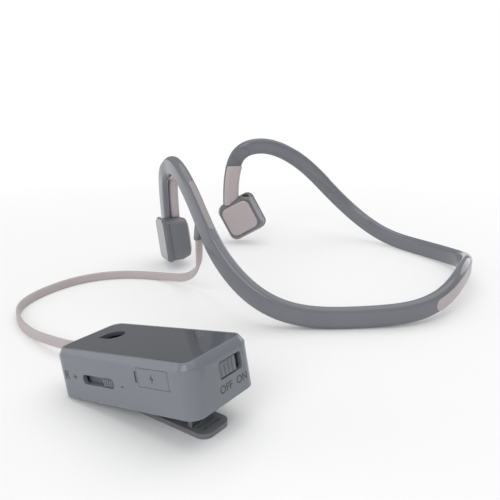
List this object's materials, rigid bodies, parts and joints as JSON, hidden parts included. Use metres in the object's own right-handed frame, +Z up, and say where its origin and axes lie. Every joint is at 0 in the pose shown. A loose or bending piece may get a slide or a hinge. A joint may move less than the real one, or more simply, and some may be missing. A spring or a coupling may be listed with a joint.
{
  "type": "bone conduction headphones",
  "caption": "Sprung neckband with two ear hooks and transducer pods, joined by a flat cord to a small control box on a belt clip.",
  "frame": {"origin": "middle of the underside of the box round the set, the cord left out", "axes": "+Z up from the surface the set stands on; +X towards the wearer's left, where the control box stands; -Y the way the wearer faces"},
  "size_m": [0.2325, 0.1732, 0.0609],
  "materials": {
    "band_shell": "satin gunmetal grey",
    "spring_wire": "drawn wire",
    "soft_pink": "matt silicone, pinkish grey",
    "pod_cover": "polished grey",
    "pod_housing": "dark satin grey",
    "transducer_steel": "plated",
    "copper": "enamelled wire",
    "cord": "matt pinkish grey",
    "case_plastic": "satin grey",
    "cover_plastic": "polished dark grey",
    "clip_plastic": "dark satin grey",
    "knob": "dark grey, ribbed",
    "electronics": "circuit parts",
    "hardware": "plated"
  },
  "bodies": {
    "headset": {"band_core_wire": "spring_wire", "battery": "electronics", "box_case": "case_plastic", "box_cover": "cover_plastic", "box_strain_relief": "cord", "charge_socket": "hardware", "circuit_board": "electronics", "clip_bracket": "clip_plastic", "clip_pin": "hardware", "clip_screws": "hardware", "clip_spring": "spring_wire", "cord_gland": "band_shell", "flat_cord": "cord", "left_contact_pad": "soft_pink", "left_hook_inlay": "soft_pink", "left_hook_liner": "soft_pink", "left_hook_shell": "band_shell", "left_pod_cover": "pod_cover", "left_pod_housing": "pod_housing", "left_transducer_coil": "copper", "left_transducer_magnet": "transducer_steel", "left_transducer_yoke": "transducer_steel", "left_volume_pot": "electronics", "microphone": "electronics", "microphone_mesh": "electronics", "power_switch": "electronics", "rear_band": "band_shell", "rear_band_inlay": "soft_pink", "right_contact_pad": "soft_pink", "right_hook_inlay": "soft_pink", "right_hook_liner": "soft_pink", "right_hook_shell": "band_shell", "right_pod_cover": "pod_cover", "right_pod_housing": "pod_housing", "right_transducer_coil": "copper", "right_transducer_magnet": "transducer_steel", "right_transducer_yoke": "transducer_steel", "right_volume_pot": "electronics"},
    "power_slider": {"power_slider": "knob"},
    "right_volume_slider": {"right_volume_slider": "knob"},
    "left_volume_slider": {"left_volume_slider": "knob"},
    "charge_flap": {"charge_flap": "case_plastic"},
    "clip_lever": {"clip_lever": "clip_plastic"}
  },
  "joints": [
    {"name": "power_slide", "type": "slide", "parent": "headset", "child": "power_slider", "axis": [-0.9882, 0.153, 0], "range_m": [0, 0.0021]},
    {"name": "right_volume_slide", "type": "slide", "parent": "headset", "child": "right_volume_slider", "axis": [-0.1502, -0.9704, -0.1891], "range_m": [0, 0.009]},
    {"name": "left_volume_slide", "type": "slide", "parent": "headset", "child": "left_volume_slider", "axis": [-0.1502, -0.9704, -0.1891], "range_m": [0, 0.009]},
    {"name": "charge_flap_hinge", "type": "hinge", "parent": "headset", "child": "charge_flap", "pos_m": [0.11475, 0.02452, 0.01969], "axis": [-0.0289, -0.1869, 0.982], "range_deg": [0, 92]},
    {"name": "clip_hinge", "type": "hinge", "parent": "headset", "child": "clip_lever", "pos_m": [0.09967, 0.01079, 0.00324], "axis": [-0.9882, 0.153, 0], "range_deg": [0, 18], "stiffness_Nm_per_rad": 0.03, "springref_deg": -28.65, "deforming": ["clip_spring"]}
  ]
}
